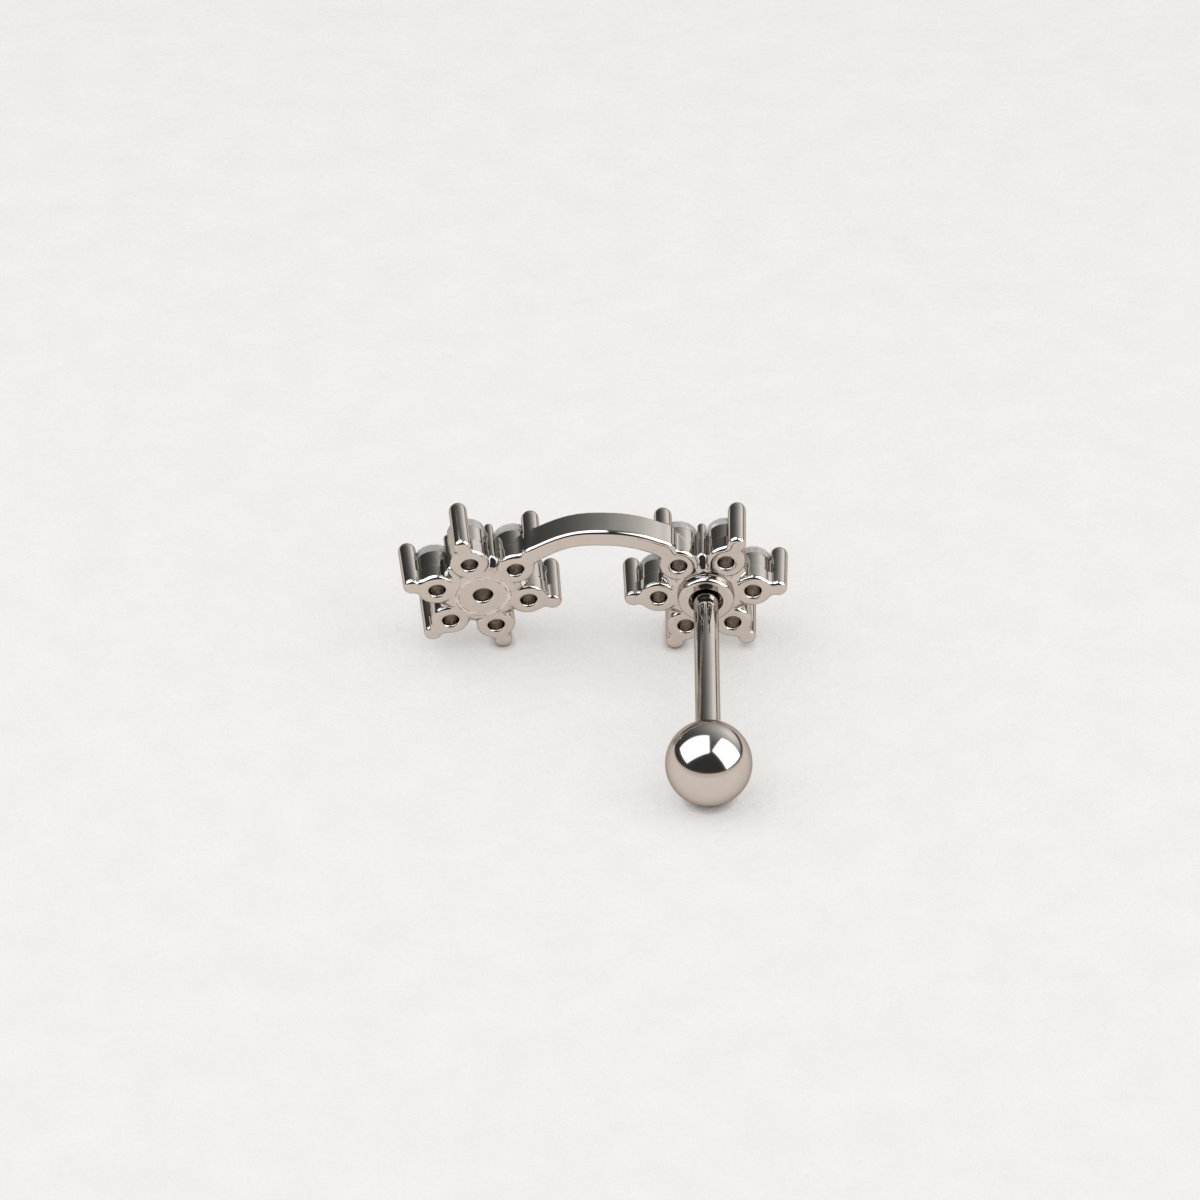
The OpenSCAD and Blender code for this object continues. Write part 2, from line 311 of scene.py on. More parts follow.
# Painted contact shadow: ambient occlusion dims the painted glow where something is close to the
# paper.
contact_shadow_ao = add_node(tree, "ShaderNodeAmbientOcclusion", {"Distance": CONTACT_SHADOW_REACH}, samples=4)
painted_paper_glow = mixed_color(
    tree, contact_shadow_ao.outputs["AO"],
    PAPER_PAINTED_CONTACT_SHADOW,
    mixed_color(tree, sees_painted_reflection, PAPER_PAINTED_GLOW, PAPER_PAINTED_REFLECTION_GLOW),
)
tree.links.new(painted_paper_glow, shader.inputs["Emission Color"])
shader.inputs["Emission Strength"].default_value = 1.0
tooth = add_node(
    tree, "ShaderNodeTexNoise",
    {"Vector": millimetres, "Scale": TOOTH_PER_MM, "Detail": 6, "Roughness": 0.6},
)
bump = add_node(tree, "ShaderNodeBump", {"Height": tooth.outputs["Fac"], "Distance": TOOTH_DEPTH})
tree.links.new(bump.outputs["Normal"], shader.inputs["Normal"])
shader.inputs["Roughness"].default_value = PAPER_ROUGHNESS
shader.inputs["Specular IOR Level"].default_value = PAPER_GLOSS
table.data.materials.append(paper)

# Where the flowers are
# Each flower has axes of its own, taken from its stones: x runs to the middle of petal
# 1, and z runs from the flat back to the stones. Lengths along them are in millimetres.
PETALS = 6
STEP = math.tau / PETALS
TABLE_HEIGHT = 2.486


def stone_points(side, which):
    """A stone's corners, in metres."""
    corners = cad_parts[f"stone_{side}_{which}"].data.vertices
    return np.array([v.co for v in corners], float)


def flower_axes(side):
    """A flower's origin at the middle of its back, in metres, and its three axes as rows."""
    middle = stone_points(side, "centre").mean(0)
    x = stone_points(side, 1).mean(0) - middle
    x /= np.linalg.norm(x)
    y = stone_points(side, 2).mean(0) - middle
    y -= (y @ x) * x
    y /= np.linalg.norm(y)
    z = np.cross(x, y)
    back = (stone_points(side, "centre") @ z).max() - TABLE_HEIGHT * MM
    return middle + (back - middle @ z) * z, np.array([x, y, z])


right_origin, right_axes = flower_axes("right")
left_origin, left_axes = flower_axes("left")
left_place = (left_origin - right_origin) / MM @ right_axes.T
left_turn = left_axes @ right_axes.T


def from_right_flower(points):
    """Points given in the right flower's axes, in metres on the table."""
    return right_origin + np.asarray(points) * MM @ right_axes


# Setting
# Two cast flowers and the arched bar between them, soldered and polished as one piece
# of steel. Polishing has rounded its edges and left its faces a little wavy.
# Rings are measured from a flower's middle and heights from its flat back. A blend is how
# far the fillet between two forms reaches.
PETAL_RING = 2.21
CUP_R = 0.9
CUP_DEPTH = 1.84
DISC_R = 1.64
DISC_BLEND = 0.25
PLATE_T = 0.9
PLATE_BLEND = 0.06
# Outer prongs, each on a neck that runs out from its cup, and leaning out a little.
NECK_W = 0.74
NECK_BLEND = 0.4
KNOB_RING = 3.39
TIP_RING = 3.49
PRONG_R = 0.425
PRONG_LENGTH = 2.8
PRONG_BLEND = 0.2
# Slim prongs in the notches between cups, with a wide foot that is cut away at a slant.
NOTCH_RING = 1.98
NOTCH_PRONG_R = 0.22
NOTCH_PRONG_BLEND = 0.15
NOTCH_INNER_RING = 1.5
NOTCH_WIDE_TO = 1.0
NOTCH_SLIM_FROM = 1.8
NOTCH_FOOT_RING = 1.64
NOTCH_FOOT_SLOPE = 0.9
NOTCH_FOOT_ROUND = 0.06
# Claws where the centre cup meets two others, as long as the slim prongs.
CLAW_RING = PETAL_RING / (2 * math.cos(STEP / 2))
CLAW_R = 0.42
CLAW_BLEND = 0.08
INNER_LENGTH = 2.75
# The bar arches from a knob of one flower to a knob of the other, and is deeper than the
# plates. Between them the plane of the back bends from one flower's to the other's.
BAR_W = 0.92
BAR_DEPTH = 1.46
BAR_DEEP_TO = 0.05
BAR_SHALLOW_FROM = 0.65
BAR_RISE = 0.9
BAR_BLEND = 0.4
BAR_PETAL = 1
BAR_PETAL_LEFT = 2
BEND_FROM = 4.4
BEND_TO = 6.6
# The seats are the stones' own shape and a little room. The holes behind them run through
# the back, but the right flower's centre hole stops at its plate. The pocket takes the
# collar's root.
STONE_R = 0.9
GIRDLE_HEIGHT = 2.17
CROWN_HEIGHT = 2.22
TABLE_R = 0.513
PAVILION_SLOPE = math.tan(math.radians(40.75))
STONE_ROOM = 0.012
SEAT_ROUND = 0.02
PETAL_HOLE_R = 0.37
CENTRE_HOLE_R = 0.44
THROUGH = -1.0
POCKET_R = 1.05
POCKET_DEPTH = 0.45
# What polishing has done to edges and faces.
BACK_ROUND = 0.22
FRONT_ROUND = 0.08
LIP_ROUND = 0.16
WAVE_DEPTH = 0.003
WAVE_LENGTHS = (1.3, 2.6)
WAVES = 9
# The mesh comes from a grid of cells with spare room round the metal.
CELL = 0.08
SPARE_ROUND = 1.2
SPARE_BEHIND = 0.9
SPARE_IN_FRONT = 1.1


def soft_min(a, b, reach):
    """The smaller of two distances, blended where they are within reach of each other."""
    near = np.maximum(reach - np.abs(a - b), 0) / reach
    return np.minimum(a, b) - near**3 * reach / 6


def round_cut(a, b, radius):
    """Distance to what two bodies share, with the edge where they meet rounded."""
    edge = np.hypot(np.maximum(a + radius, 0), np.maximum(b + radius, 0))
    return np.minimum(np.maximum(a, b), -radius) + edge


def smooth_step(low, high, value):
    """Nothing below low, one above high, and a smooth climb in between."""
    share = np.clip((value - low) / (high - low), 0, 1)
    return share * share * (3 - 2 * share)


def rod(off_x, off_y, z, radius, length):
    """Distance to a rod with a domed tip, which runs down through the back."""
    return np.sqrt(off_x**2 + off_y**2 + np.maximum(z - (length - radius), 0) ** 2) - radius


def stone_seat(off, z, hole_r, hole_from):
    """Distances to the hole behind a stone and to the room that the stone itself takes."""
    culet = GIRDLE_HEIGHT - STONE_R * PAVILION_SLOPE
    hole = np.maximum(off - hole_r, np.maximum(hole_from - z, z - GIRDLE_HEIGHT))
    steep = math.hypot(1, PAVILION_SLOPE)
    pavilion = (culet + off * PAVILION_SLOPE - z) / steep
    crown_slope = (TABLE_HEIGHT - CROWN_HEIGHT) / (STONE_R - TABLE_R)
    crown = (z - CROWN_HEIGHT - (STONE_R - off) * crown_slope) / math.hypot(1, crown_slope)
    room = np.maximum.reduce([pavilion, crown, off - STONE_R, z - TABLE_HEIGHT]) - STONE_ROOM
    return hole, room


def flower(points, centre_hole_from):
    """Distances to a flower's outline, to what stands up from its plate, and to its hollows."""
    x, y, z = points.T
    turn = np.round(np.arctan2(y, x) / STEP) * STEP
    along = x * np.cos(turn) + y * np.sin(turn)
    across = np.abs(y * np.cos(turn) - x * np.sin(turn))
    middle = np.hypot(x, y)
    petal = np.hypot(along - PETAL_RING, across)
    neck = np.hypot(along - np.clip(along, PETAL_RING, KNOB_RING), across) - NECK_W / 2
    outline = soft_min(soft_min(petal - CUP_R, middle - DISC_R, DISC_BLEND), neck, NECK_BLEND)
    cups = round_cut(np.minimum(petal, middle) - CUP_R, z - CUP_DEPTH, FRONT_ROUND)
    lean = (TIP_RING - KNOB_RING) / PRONG_LENGTH
    outer = rod(along - KNOB_RING - lean * z, across, z, PRONG_R, PRONG_LENGTH)
    notch_along = along * math.cos(STEP / 2) + across * math.sin(STEP / 2)
    notch_across = across * math.cos(STEP / 2) - along * math.sin(STEP / 2)
    slimming = smooth_step(NOTCH_WIDE_TO, NOTCH_SLIM_FROM, z)
    inner_end = NOTCH_INNER_RING + (NOTCH_RING - NOTCH_INNER_RING) * slimming
    slim_off = notch_along - np.clip(notch_along, inner_end, NOTCH_RING)
    slim = rod(slim_off, notch_across, z, NOTCH_PRONG_R, INNER_LENGTH)
    foot = (notch_along - NOTCH_FOOT_RING) * NOTCH_FOOT_SLOPE - z
    slim = round_cut(slim, foot / math.hypot(1, NOTCH_FOOT_SLOPE), NOTCH_FOOT_ROUND)
    claw = rod(notch_along - CLAW_RING, notch_across, z, CLAW_R, INNER_LENGTH)
    inner = soft_min(soft_min(cups, claw, CLAW_BLEND), slim, NOTCH_PRONG_BLEND)
    upright = soft_min(inner, outer, PRONG_BLEND)
    hole, room = stone_seat(petal, z, PETAL_HOLE_R, THROUGH)
    centre_hole, centre_room = stone_seat(middle, z, CENTRE_HOLE_R, centre_hole_from)
    return outline, upright, np.minimum(hole, centre_hole), np.minimum(room, centre_room)


def knob(petal):
    """Where a petal's outer prong stands, in its flower's axes."""
    return np.array([KNOB_RING * math.cos(petal * STEP), KNOB_RING * math.sin(petal * STEP), 0.0])


bar_start = knob(BAR_PETAL)[:2]
bar_end = (left_place + knob(BAR_PETAL_LEFT) @ left_turn)[:2]
bar_chord = np.linalg.norm(bar_end - bar_start)
bar_along = (bar_end - bar_start) / bar_chord
bar_up = np.array([-bar_along[1], bar_along[0]])
bar_r = (bar_chord**2 / 4 + BAR_RISE**2) / (2 * BAR_RISE)
bar_centre = (bar_start + bar_end) / 2 - bar_up * (bar_r - BAR_RISE)
bar_half_angle = math.asin(bar_chord / 2 / bar_r)


def bar_outline(points):
    """Distance in the plane of the back to the arched bar, which has round ends."""
    off = points[:, :2] - bar_centre
    angle = np.arctan2(off @ bar_along, off @ bar_up)
    angle = np.clip(angle, -bar_half_angle, bar_half_angle)
    nearest = bar_r * (np.sin(angle)[:, None] * bar_along + np.cos(angle)[:, None] * bar_up)
    return np.linalg.norm(off - nearest, axis=1) - BAR_W / 2


wave_source = np.random.default_rng(7)
wave_turns = wave_source.normal(size=(WAVES, 3))
wave_turns /= np.linalg.norm(wave_turns, axis=1)[:, None]
wave_turns *= (math.tau / wave_source.uniform(*WAVE_LENGTHS, WAVES))[:, None]
wave_starts = wave_source.uniform(0, math.tau, WAVES)


def setting_metal(points):
    """Distance to the setting's metal, from points in the right flower's axes."""
    on_left = (points - left_place) @ left_turn.T
    right_outline, right_upright, right_hole, right_room = flower(points, PLATE_T)
    left_outline, left_upright, left_hole, left_room = flower(on_left, THROUGH)
    bar = bar_outline(points)
    to_left = smooth_step(BEND_FROM, BEND_TO, points[:, 0])
    height = points[:, 2] * (1 - to_left) + on_left[:, 2] * to_left
    outline = soft_min(np.minimum(right_outline, left_outline), bar, BAR_BLEND)
    off_bar = smooth_step(BAR_DEEP_TO, BAR_SHALLOW_FROM, bar)
    front = PLATE_T + (BAR_DEPTH - PLATE_T) * (1 - off_bar)
    plate = round_cut(outline, height - front, FRONT_ROUND)
    body = soft_min(plate, np.minimum(right_upright, left_upright), PLATE_BLEND)
    body = round_cut(body, -height, BACK_ROUND)
    body = round_cut(body, -np.minimum(right_hole, left_hole), LIP_ROUND)
    body = round_cut(body, -np.minimum(right_room, left_room), SEAT_ROUND)
    pocket = np.maximum(np.hypot(points[:, 0], points[:, 1]) - POCKET_R, points[:, 2] - POCKET_DEPTH)
    body = np.maximum(body, -pocket)
    return body + WAVE_DEPTH * np.sin(points @ wave_turns.T + wave_starts).mean(1)


def slope(field, points, reach):
    """How fast and which way a distance grows."""
    steps = np.eye(3) * reach
    return np.stack([field(points + s) - field(points - s) for s in steps], 1) / (2 * reach)


def skin(field, low, high, cell):
    """Points and four-sided faces on the surface where a distance is zero."""
    lines = [np.arange(a, b + cell, cell) for a, b in zip(low, high)]
    shape = [len(line) for line in lines]
    grid = np.stack(np.meshgrid(*lines, indexing="ij"), -1)
    value = field(grid.reshape(-1, 3)).reshape(shape)
    cells, crossings, facing = [], [], []
    for axis in range(3):
        side = np.eye(3, dtype=int)[axis]
        upper = [slice(1, None) if a == axis else slice(None) for a in range(3)]
        lower = [slice(None, -1) if a == axis else slice(None) for a in range(3)]
        first, second = value[tuple(lower)], value[tuple(upper)]
        at = np.argwhere((first < 0) != (second < 0))
        before = value[tuple(at.T)]
        after = value[tuple((at + side).T)]
        share = before / (before - after)
        crossings.append(grid[tuple(at.T)] + (share * cell)[:, None] * side)
        one, two = np.eye(3, dtype=int)[(axis + 1) % 3], np.eye(3, dtype=int)[(axis + 2) % 3]
        around = [at - one - two, at - two, at, at - one]
        cells.append(np.stack([np.ravel_multi_index(tuple(c.T), shape) for c in around], 1))
        facing.append(before < 0)
    cells, crossings = np.concatenate(cells), np.concatenate(crossings)
    facing = np.concatenate(facing)
    used, corner = np.unique(cells, return_inverse=True)
    faces = corner.reshape(-1, 4)
    count = np.bincount(faces.ravel(), minlength=len(used))
    points = np.stack(
        [np.bincount(faces.ravel(), np.repeat(crossings[:, a], 4), len(used)) for a in range(3)], 1
    ) / count[:, None]
    faces[~facing] = faces[~facing][:, ::-1]
    return points, faces


def settle(field, points, reach):
    """Moves points onto the surface where a distance is zero, by at most reach a step."""
    for _ in range(3):
        way = slope(field, points, reach / 8)
        move = (field(points) / np.maximum((way**2).sum(1), 0.05))[:, None] * way
        far = np.linalg.norm(move, axis=1)[:, None]
        points = points - move * np.minimum(1, reach / np.maximum(far, 1e-9))
    return points


def even_out(points, faces):
    """Moves each point to the middle of its neighbours."""
    total = np.zeros_like(points)
    count = np.zeros(len(points))
    for a in range(4):
        ends = faces[:, a], faces[:, (a + 1) % 4]
        for here, there in (ends, ends[::-1]):
            for axis in range(3):
                total[:, axis] += np.bincount(here, points[there, axis], len(points))
            count += np.bincount(here, minlength=len(points))
    return total / count[:, None]


reach_out = KNOB_RING + SPARE_ROUND
setting_low = np.array([-reach_out, -reach_out, -SPARE_BEHIND])
setting_high = np.array([*(left_place[:2] + reach_out), INNER_LENGTH + SPARE_IN_FRONT])
points, faces = skin(setting_metal, setting_low, setting_high, CELL)
for _ in range(2):
    points = settle(setting_metal, even_out(points, faces), CELL / 2)
normals = slope(setting_metal, points, CELL / 5) @ right_axes
normals /= np.linalg.norm(normals, axis=1)[:, None]

setting = bpy.data.objects.new("flowers_and_bar", bpy.data.meshes.new("flowers_and_bar"))
setting.data.from_pydata(from_right_flower(points).tolist(), [], faces.tolist())
setting.data.shade_smooth()
setting.data.normals_split_custom_set_from_vertices(normals.tolist())
bpy.context.scene.collection.objects.link(setting)
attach(setting, "jewel")
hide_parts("setting")

# Polished steel
# Every piece of metal is surgical steel with a mirror finish. Wear has left fine straight
# scratches, a few pits and a thin film on it.
STEEL_COLOR = (0.60, 0.58, 0.56, 1)
STAINED_STEEL_COLOR = (0.575, 0.55, 0.525, 1)
STEEL_EDGE_COLOR = (0.52, 0.5, 0.48, 1)
STREAK_STRETCH = (0.9, 42, 42)
STREAK_TURN_A = (0.4, 0.3, 0.5)
STREAK_TURN_B = (-0.7, 0.9, -1.1)
STREAK_A_FROM = 0.76
STREAK_B_FROM = 0.77
STREAK_FADE = 0.1
PITS_PER_MM = 7
PIT_FROM = 0.74
PIT_TO = 0.82
FILM_PER_MM = 1.1
FILM_FROM = 0.4
FILM_TO = 0.7
FILM_DULLNESS = 0.4
SCRATCH_DEPTH = 0.0004 * MM


def new_group(name, inputs, outputs):
    """A new shader node group, with the sockets that bring in its inputs and its end node."""
    made = bpy.data.node_groups.new(name, "ShaderNodeTree")
    for socket, kind in inputs.items():
        made.interface.new_socket(socket, in_out="INPUT", socket_type=kind)
    for socket, kind in outputs.items():
        made.interface.new_socket(socket, in_out="OUTPUT", socket_type=kind)
    return made, made.nodes.new("NodeGroupInput").outputs, made.nodes.new("NodeGroupOutput")


def speckle(tree, place, scale, detail):
    """Cloudy noise, with a cloud about every one over scale along the place."""
    return add_node(
        tree, "ShaderNodeTexNoise", {"Vector": place, "Scale": scale, "Detail": detail}
    ).outputs["Fac"]


def streaks(tree, place, turn, start):
    """Fine straight scratches that run one way over a polished face."""
    turned_place = add_node(
        tree, "ShaderNodeMapping", {"Vector": place, "Rotation": turn, "Scale": STREAK_STRETCH}
    ).outputs["Vector"]
    return share_of_way(tree, speckle(tree, turned_place, 1, 1), start, start + STREAK_FADE)


handling, handled, handling_end = new_group(
    "handling_marks",
    {"Place": "NodeSocketVector"},
    {"Dullness": "NodeSocketFloat", "Depth": "NodeSocketFloat", "Stain": "NodeSocketFloat"},
)
scratches = worked_out(
    handling, "MAXIMUM",
    streaks(handling, handled["Place"], STREAK_TURN_A, STREAK_A_FROM),
    streaks(handling, handled["Place"], STREAK_TURN_B, STREAK_B_FROM),
)
pits = share_of_way(handling, speckle(handling, handled["Place"], PITS_PER_MM, 2), PIT_FROM, PIT_TO)
film = share_of_way(handling, speckle(handling, handled["Place"], FILM_PER_MM, 4), FILM_FROM, FILM_TO)
dug = worked_out(handling, "MAXIMUM", scratches, pits)
dull = worked_out(handling, "MULTIPLY_ADD", film, FILM_DULLNESS, dug)
handling.links.new(dull, handling_end.inputs["Dullness"])
handling.links.new(dug, handling_end.inputs["Depth"])
handling.links.new(film, handling_end.inputs["Stain"])


def steel(name, roughness, marks):
    """Polished surgical steel with the fine marks of handling."""
    made = bpy.data.materials.new(name)
    made.use_nodes = True
    tree = made.node_tree
    shader = tree.nodes["Principled BSDF"]
    place = add_node(
        tree, "ShaderNodeMapping",
        {
            "Vector": add_node(tree, "ShaderNodeTexCoord").outputs["Object"],
            "Scale": (1 / MM, 1 / MM, 1 / MM),
        },
    )
    worn = tree.nodes.new("ShaderNodeGroup")
    worn.node_tree = handling
    tree.links.new(place.outputs["Vector"], worn.inputs["Place"])
    color = mixed_color(tree, worn.outputs["Stain"], STEEL_COLOR, STAINED_STEEL_COLOR)
    dullness = worked_out(tree, "MULTIPLY_ADD", worn.outputs["Dullness"], marks, roughness)
    bump = add_node(
        tree, "ShaderNodeBump",
        {"Height": worn.outputs["Depth"], "Distance": SCRATCH_DEPTH},
        invert=True,
    )
    tree.links.new(color, shader.inputs["Base Color"])
    tree.links.new(dullness, shader.inputs["Roughness"])
    tree.links.new(bump.outputs["Normal"], shader.inputs["Normal"])
    shader.inputs["Metallic"].default_value = 1
    shader.inputs["Specular Tint"].default_value = STEEL_EDGE_COLOR
    return made


# Witness ring
# A pale worn ring on the left flower's back, broken and scored along its edges, which
# an earlier part or tool has left.
RING_R = 1.22
RING_WIDTH = 0.16
RING_DEPTH = 0.03 * MM
RING_COLOR = (0.80, 0.78, 0.75, 1)
RING_BREAKS_PER_MM = 1.9
RING_BREAK_FROM = 0.38
RING_BREAK_TO = 0.6
RING_LINE_COLOR = (0.24, 0.2, 0.17, 1)
RING_LINE_WIDTH = 0.045
RING_SCORES_PER_MM = 2.7
RING_SCORE_FROM = 0.5
RING_SCORE_TO = 0.6
RING_BACK_TO = 0.1

witness, witnessed, witness_end = new_group(
    "witness_ring",
    {"Place": "NodeSocketVector", "Radius": "NodeSocketFloat", "Width": "NodeSocketFloat"},
    {"Mark": "NodeSocketFloat", "Line": "NodeSocketFloat"},
)
off = add_node(witness, "ShaderNodeSeparateXYZ", {0: witnessed["Place"]})
flat = add_node(witness, "ShaderNodeCombineXYZ", {"X": off.outputs["X"], "Y": off.outputs["Y"]})
radius = add_node(witness, "ShaderNodeVectorMath", {0: flat.outputs[0]}, operation="LENGTH")
off_back = worked_out(witness, "ABSOLUTE", off.outputs["Z"])
on_back = worked_out(witness, "LESS_THAN", off_back, RING_BACK_TO)
off_ring = worked_out(witness, "SUBTRACT", radius.outputs["Value"], witnessed["Radius"])
beside = worked_out(witness, "ABSOLUTE", off_ring)
on_ring = share_of_way(witness, beside, witnessed["Width"], 0.0)
breaks = speckle(witness, witnessed["Place"], RING_BREAKS_PER_MM, 5)
unbroken = share_of_way(witness, breaks, RING_BREAK_FROM, RING_BREAK_TO)
half_width = worked_out(witness, "MULTIPLY", witnessed["Width"], 0.5)
off_edge = worked_out(witness, "ABSOLUTE", worked_out(witness, "SUBTRACT", beside, half_width))
on_edge = share_of_way(witness, off_edge, RING_LINE_WIDTH, 0.0)
scores = speckle(witness, witnessed["Place"], RING_SCORES_PER_MM, 4)
scored = share_of_way(witness, scores, RING_SCORE_FROM, RING_SCORE_TO)
mark = worked_out(witness, "MULTIPLY", worked_out(witness, "MULTIPLY", on_ring, unbroken), on_back)
line = worked_out(witness, "MULTIPLY", worked_out(witness, "MULTIPLY", on_edge, scored), on_back)
witness.links.new(mark, witness_end.inputs["Mark"])
witness.links.new(line, witness_end.inputs["Line"])

cast_steel = steel("cast_steel", roughness=0.04, marks=0.02)
tree = cast_steel.node_tree
shader = tree.nodes["Principled BSDF"]
on_left_flower = add_node(
    tree, "ShaderNodeMapping",
    {
        "Vector": add_node(tree, "ShaderNodeTexCoord").outputs["Object"],
        "Location": left_origin,
        "Rotation": Matrix(left_axes.T).to_euler(),
        "Scale": (MM, MM, MM),
    },
    vector_type="TEXTURE",
)
ring = tree.nodes.new("ShaderNodeGroup")
ring.node_tree = witness
tree.links.new(on_left_flower.outputs["Vector"], ring.inputs["Place"])
ring.inputs["Radius"].default_value = RING_R
ring.inputs["Width"].default_value = RING_WIDTH
ring_bump = add_node(
    tree, "ShaderNodeBump",
    {
        "Height": ring.outputs["Mark"],
        "Distance": RING_DEPTH,
        "Normal": shader.inputs["Normal"].links[0].from_socket,
    },
)
tree.links.new(ring_bump.outputs["Normal"], shader.inputs["Normal"])
plain_color = shader.inputs["Base Color"].links[0].from_socket
ring_color = mixed_color(tree, ring.outputs["Mark"], plain_color, RING_COLOR)
lined_color = mixed_color(tree, ring.outputs["Line"], ring_color, RING_LINE_COLOR)
tree.links.new(lined_color, shader.inputs["Base Color"])
setting.data.materials.append(cast_steel)

# Holes behind the stones
# The drilled holes' walls are given a browner, unevenly darker colour than the polished
# steel, a rougher finish and a slightly uneven surface.
HOLE_COLOR = (0.66, 0.62, 0.57, 1)
HOLE_DARKER_COLOR = (0.48, 0.43, 0.38, 1)
HOLE_ROUGHNESS = 0.16
HOLE_SKIN_PER_MM = 6
HOLE_SKIN_DEPTH = 0.004 * MM
HOLE_SKIN_FROM = 0.2
HOLE_REACH = 0.03

hole_steel = bpy.data.materials.new("hole_steel")
hole_steel.use_nodes = True
tree = hole_steel.node_tree
shader = tree.nodes["Principled BSDF"]
place = add_node(tree, "ShaderNodeTexCoord").outputs["Object"]
hole_mottle = speckle(tree, place, HOLE_SKIN_PER_MM / MM, 3)
skin_bump = add_node(tree, "ShaderNodeBump", {"Height": hole_mottle, "Distance": HOLE_SKIN_DEPTH})
tree.links.new(mixed_color(tree, hole_mottle, HOLE_COLOR, HOLE_DARKER_COLOR), shader.inputs["Base Color"])
tree.links.new(skin_bump.outputs["Normal"], shader.inputs["Normal"])
shader.inputs["Roughness"].default_value = HOLE_ROUGHNESS
shader.inputs["Metallic"].default_value = 1
setting.data.materials.append(hole_steel)
face_middles = points[faces].mean(1)
on_left = (face_middles - left_place) @ left_turn.T
in_hole = np.zeros(len(faces), bool)
for middles in (face_middles, on_left):
    off_hole = flower(middles, THROUGH)[2]
    in_hole |= (np.abs(off_hole) < HOLE_REACH) & (middles[:, 2] > HOLE_SKIN_FROM)
setting.data.polygons.foreach_set("material_index", in_hole.astype(np.int32))

# Collar and post
# The post is turned from bar, with a helical thread cut on its end. It stands in the
# socket of a round collar, which is soldered to the right flower's back.
COLLAR_R = 1.34
COLLAR_FACE_R = 1.3
COLLAR_H = 0.43
COLLAR_ROUND = 0.21
SEAM_W = 0.03
SOCKET_R = 0.8
SOCKET_SINK = 0.1
SOCKET_EDGE_ROUND = 0.04
SOCKET_FLOOR_ROUND = 0.05
ROOT_INNER_R = 0.9
ROOT_R = 1.22
ROOT_SINK = 0.4
ROOT_ROUND = 0.02
POST_R = 0.58
POST_FOOT_R = 0.7
POST_FOOT_LENGTH = 0.4
POST_FOOT_ROUND = 1.0
POST_PLAIN_END = 0.2
POST_CHAMFER_H = 0.06
POST_CHAMFER_W = 0.08
THREAD_LENGTH = 1.9
THREAD_PITCH = 0.25
THREAD_GROOVE = 0.13
THREAD_CREST = 1.25
THREAD_STEPS = 12
BALL_CLEARANCE = 0.03
AROUND = 128

ball_r = (ball_high.z - ball_low.z) / 2 / MM
ball_middle = np.array((ball_low + ball_high) / 2)
ball_z = ((ball_middle - right_origin) / MM @ right_axes.T)[2]
ball_hole_r = POST_R + BALL_CLEARANCE
mouth_z = ball_z + math.sqrt(ball_r**2 - ball_hole_r**2)
post_end_z = mouth_z - THREAD_LENGTH


def rounded_line(corners, steps=6, hold=0.01):
    """A lathe outline through corners (radius, height, rounding), with each corner rounded."""
    line = [corners[0][:2]]
    for before, (r, z, rounding), after in zip(corners, corners[1:], corners[2:]):
        corner = np.array([r, z])
        back = np.array(before[:2]) - corner
        onward = np.array(after[:2]) - corner
        back /= np.linalg.norm(back)
        onward /= np.linalg.norm(onward)
        half = math.acos(np.clip(back @ onward, -1, 1)) / 2
        start = rounding / math.tan(half)
        centre = corner + (back + onward) / np.linalg.norm(back + onward) * rounding / math.sin(half)
        line.append(corner + back * (start + hold))
        first, last = corner + back * start - centre, corner + onward * start - centre
        sweep_angle = math.pi - 2 * half
        for i in range(steps + 1):
            a = sweep_angle * i / steps
            weights = math.sin(sweep_angle - a), math.sin(a)
            line.append(centre + (weights[0] * first + weights[1] * last) / math.sin(sweep_angle))
        line.append(corner + onward * (start + hold))
    line.append(corners[-1][:2])
    return np.array(line)


def turned(name, radii, heights):
    """A closed body turned about the post's axis. A row of radii gives a ring that isn't round."""
    rows = len(heights)
    angle = np.arange(AROUND) * math.tau / AROUND
    radii = np.broadcast_to(np.reshape(radii, (rows, -1)), (rows, AROUND))
    levels = np.repeat(np.reshape(heights, (-1, 1)), AROUND, 1)
    rings = np.stack([radii * np.cos(angle), radii * np.sin(angle), levels], -1).reshape(-1, 3)
    ends = [[0, 0, heights[0]], [0, 0, heights[-1]]]
    start = np.arange(rows - 1)[:, None] * AROUND + np.arange(AROUND)
    following = np.arange(rows - 1)[:, None] * AROUND + (np.arange(AROUND) + 1) % AROUND
    faces = np.stack([start, following, following + AROUND, start + AROUND], -1)
    faces = faces.reshape(-1, 4).tolist()
    for i in range(AROUND):
        j = (i + 1) % AROUND
        faces.append([rows * AROUND, j, i])
        faces.append([rows * AROUND + 1, (rows - 1) * AROUND + i, (rows - 1) * AROUND + j])
    made = bpy.data.objects.new(name, bpy.data.meshes.new(name))
    points = from_right_flower(np.concatenate([rings, ends]))
    made.data.from_pydata(points.tolist(), [], faces)
    body = bmesh.new()
    body.from_mesh(made.data)
    bmesh.ops.recalc_face_normals(body, faces=body.faces)
    body.to_mesh(made.data)
    body.free()
    made.data.shade_smooth()
    bpy.context.scene.collection.objects.link(made)
    return made


def thread(heights, start_z, crest_r, groove):
    """Radii of a helical thread round the axis, which fades in over its first turn."""
    angle = np.arange(AROUND) * math.tau / AROUND
    phase = (np.reshape(heights, (-1, 1)) / THREAD_PITCH + angle / math.tau) % 1
    tooth = np.clip(THREAD_CREST * np.abs(2 * phase - 1), 0, 1)
    cut = smooth_step(0, THREAD_PITCH, start_z - np.reshape(heights, (-1, 1)))
    return crest_r - groove * cut * (1 - tooth)


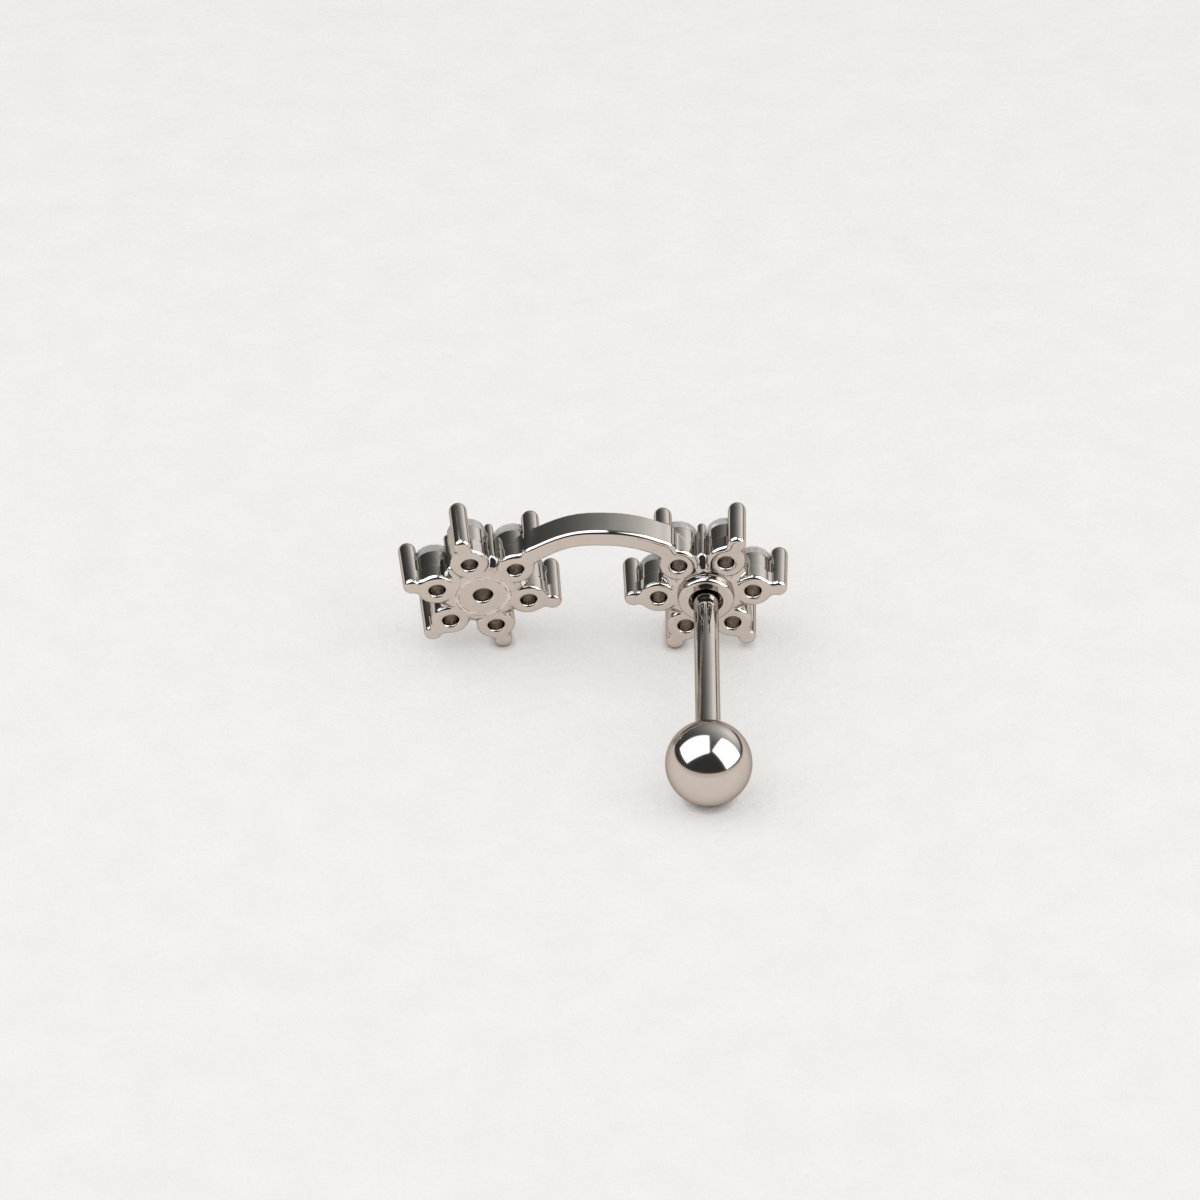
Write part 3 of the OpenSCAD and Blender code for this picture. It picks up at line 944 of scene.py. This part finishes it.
collar_line = rounded_line([
    (ROOT_INNER_R, ROOT_SINK, 0),
    (ROOT_R, ROOT_SINK, ROOT_ROUND),
    (COLLAR_R - SEAM_W, ROOT_ROUND, ROOT_ROUND),
    (COLLAR_R, -SEAM_W, SEAM_W),
    (COLLAR_FACE_R, -COLLAR_H, COLLAR_ROUND),
    (SOCKET_R, -COLLAR_H, SOCKET_EDGE_ROUND),
    (SOCKET_R, SOCKET_SINK, SOCKET_FLOOR_ROUND),
    (POST_FOOT_R, SOCKET_SINK, SOCKET_EDGE_ROUND),
    (POST_R, -COLLAR_H - POST_FOOT_LENGTH, POST_FOOT_ROUND),
    (POST_R, mouth_z + POST_PLAIN_END, 0),
])
thread_z = np.arange(mouth_z, post_end_z, -THREAD_PITCH / THREAD_STEPS)
thread_r = thread(thread_z, mouth_z, POST_R, THREAD_GROOVE)
core_r = POST_R - THREAD_GROOVE
end_z = np.array([post_end_z, post_end_z - POST_CHAMFER_H])
end_r = np.array([[core_r], [core_r - POST_CHAMFER_W]])
post_heights = np.concatenate([collar_line[:, 1], thread_z, end_z])
post_radii = np.concatenate([
    np.repeat(collar_line[:, :1], AROUND, 1),
    thread_r,
    np.repeat(end_r, AROUND, 1),
])
post = turned("collar_and_post", post_radii, post_heights)
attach(post, "jewel")
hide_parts("setting")
post.data.materials.append(steel("turned_steel", roughness=0.07, marks=0.02))

# Screw ball
# A ground and polished steel ball with a blind hole, which screws onto the post's
# thread until its bevelled mouth closes round the post.
BALL_HOLE_SPARE = 0.2
BALL_HOLE_ROUND = 0.05
DRILL_POINT_R = 0.05
DRILL_POINT_H = 0.3
MOUTH_BEVEL = 0.12
MOUTH_ROUND = 0.04
MOUTH_EDGE_W = 0.02
MOUTH_EDGE_H = 0.005
BALL_RINGS = 120
BALL_POLE_GAP = 0.01

bore_end_z = post_end_z - BALL_HOLE_SPARE
bevel_r = ball_hole_r + MOUTH_BEVEL
bevel_z = ball_z + math.sqrt(ball_r**2 - bevel_r**2)
bore_line = rounded_line([
    (DRILL_POINT_R, bore_end_z - DRILL_POINT_H, 0),
    (ball_hole_r, bore_end_z, BALL_HOLE_ROUND),
    (ball_hole_r, mouth_z - MOUTH_BEVEL, MOUTH_ROUND),
    (bevel_r - MOUTH_EDGE_W, bevel_z + MOUTH_EDGE_H, 0),
])
ball_angle = np.linspace(math.asin(bevel_r / ball_r), math.pi - BALL_POLE_GAP, BALL_RINGS)
ball_radii = np.concatenate([bore_line[:, 0], ball_r * np.sin(ball_angle)])
ball_heights = np.concatenate([bore_line[:, 1], ball_z + ball_r * np.cos(ball_angle)])
ball = turned("polished_ball", ball_radii, ball_heights)
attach(ball, "ball")
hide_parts("screw_ball")
ball.data.materials.append(steel("ball_steel", roughness=0.105, marks=0.015))

# Stones
# Clear cubic zirconia, cut as round brilliants and held by the prongs and claws. Facets
# behind the girdle look fine ground from outside and clear from inside the stone.
ZIRCONIA_COLOR = (0.98, 0.985, 0.99, 1)
ZIRCONIA_IOR = 2.16
GROUND_COLOR = (0.95, 0.95, 0.95, 1)
GROUND_ROUGHNESS = 0.4
GROUND_TRANSMISSION = 0.84
GIRDLE_SLOPE = 0.1


def clear_zirconia(name):
    """Colourless zirconia with polished facets."""
    made = bpy.data.materials.new(name)
    made.use_nodes = True
    shader = made.node_tree.nodes["Principled BSDF"]
    shader.inputs["Base Color"].default_value = ZIRCONIA_COLOR
    shader.inputs["Roughness"].default_value = 0.0
    shader.inputs["IOR"].default_value = ZIRCONIA_IOR
    shader.inputs["Transmission Weight"].default_value = 1.0
    return made


zirconia = clear_zirconia("zirconia")
pavilion = clear_zirconia("zirconia_pavilion")
tree = pavilion.node_tree
clear = tree.nodes["Principled BSDF"]
ground = add_node(
    tree, "ShaderNodeBsdfPrincipled",
    {
        "Base Color": GROUND_COLOR,
        "Roughness": GROUND_ROUGHNESS,
        "IOR": ZIRCONIA_IOR,
        "Transmission Weight": GROUND_TRANSMISSION,
    },
)
inside = add_node(tree, "ShaderNodeNewGeometry").outputs["Backfacing"]
outside_or_in = add_node(
    tree, "ShaderNodeMixShader", {0: inside, 1: ground.outputs["BSDF"], 2: clear.outputs["BSDF"]}
)
tree.links.new(outside_or_in.outputs["Shader"], tree.nodes["Material Output"].inputs["Surface"])

for name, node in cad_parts.items():
    if name.startswith("stone_"):
        axis = (left_axes if "left" in name else right_axes)[2]
        behind = np.array([face.normal for face in node.data.polygons]) @ axis < GIRDLE_SLOPE
        node.data.materials.clear()
        node.data.materials.append(zirconia)
        node.data.materials.append(pavilion)
        node.data.polygons.foreach_set("material_index", behind.astype(np.int32))
